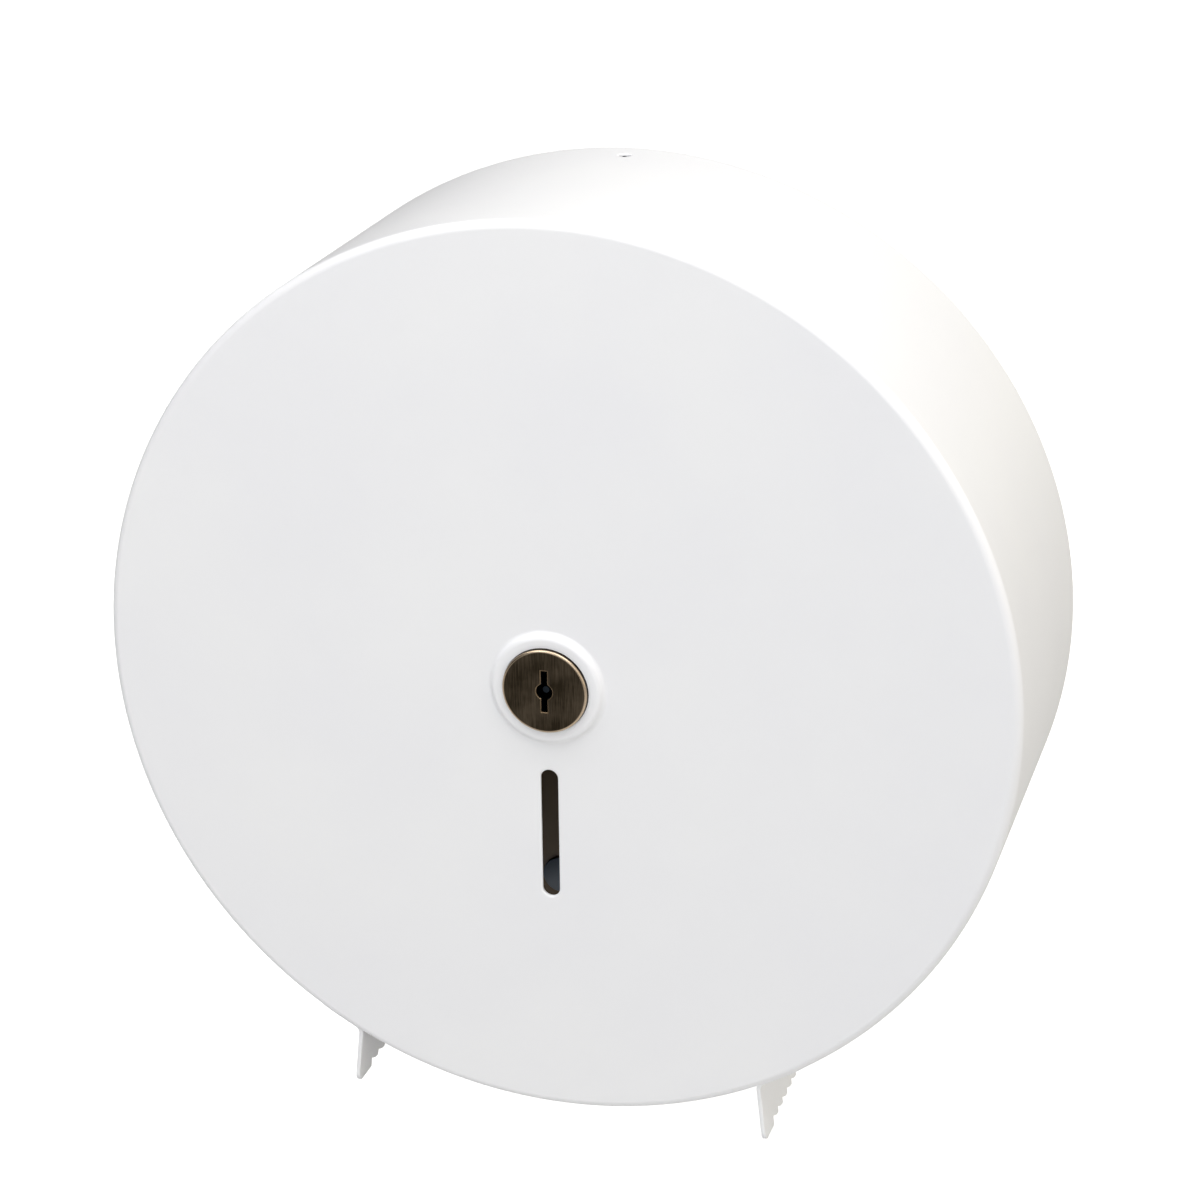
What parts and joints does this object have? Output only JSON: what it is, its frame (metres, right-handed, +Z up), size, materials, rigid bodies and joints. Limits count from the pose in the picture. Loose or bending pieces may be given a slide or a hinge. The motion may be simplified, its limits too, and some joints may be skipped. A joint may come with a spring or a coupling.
{
  "type": "jumbo toilet roll dispenser",
  "caption": "Round white steel wall dispenser for a wide toilet roll: lockable drum cover hinged at its foot, turning roll hub and toothed tear-off flanges.",
  "frame": {"origin": "on the drum's axis, in the plane of the wall, at the centre of the four fixing holes", "axes": "+Z up, +Y into the wall, -Y towards the room, +X to the right when facing the front"},
  "size_m": [0.31, 0.1101, 0.3141],
  "materials": {
    "white_powder_coat": "satin white powder coat on steel sheet",
    "black_powder_coat": "satin black powder coat on steel sheet",
    "antique_bronze": "brushed antique bronze plating",
    "zinc_casting": "bare zinc casting",
    "blued_steel": "dark blued steel",
    "zinc_plate": "bright zinc plated steel",
    "spring_steel": "bare spring steel",
    "nylon": "natural nylon",
    "hub_plastic": "moulded grey plastic",
    "plug_plastic": "moulded black plastic"
  },
  "bodies": {
    "base": {"back_plate": "black_powder_coat", "spindle_flange": "zinc_plate", "spindle_tube": "zinc_plate", "spindle_rivets": "zinc_plate", "keeper_plate": "zinc_plate", "thrust_washer": "nylon", "brake_washer": "spring_steel", "hub_circlip": "spring_steel", "hinge_pin_left": "zinc_plate", "hinge_pin_right": "zinc_plate", "hinge_washer_left": "nylon", "hinge_washer_right": "nylon", "pin_clips": "spring_steel", "catch_spring": "spring_steel", "catch_rivets": "zinc_plate", "hole_plugs": "plug_plastic"},
    "cover": {"cover_shell": "white_powder_coat", "lock_face": "antique_bronze", "lock_barrel": "zinc_casting", "lock_washer": "zinc_plate", "lock_nut": "zinc_plate", "hinge_bush_left": "nylon", "hinge_bush_right": "nylon"},
    "lock": {"lock_rotor": "blued_steel", "key_post": "blued_steel", "lock_cam": "zinc_plate", "cam_washer": "zinc_plate", "cam_screw": "zinc_plate"},
    "hub": {"roll_hub": "hub_plastic", "hub_bush_rear": "nylon", "hub_bush_front": "nylon"}
  },
  "joints": [
    {"name": "cover_hinge", "type": "hinge", "parent": "base", "child": "cover", "pos_m": [0, -0.0105, -0.1498], "axis": [1, 0, 0], "range_deg": [0, 90], "deforming": ["catch_spring"]},
    {"name": "lock_turn", "type": "hinge", "parent": "cover", "child": "lock", "pos_m": [0, -0.1, 0], "axis": [0, 1, 0], "range_deg": [0, 180]},
    {"name": "hub_spin", "type": "hinge", "parent": "base", "child": "hub", "pos_m": [0, -0.05, 0], "axis": [0, 1, 0], "continuous": true}
  ]
}
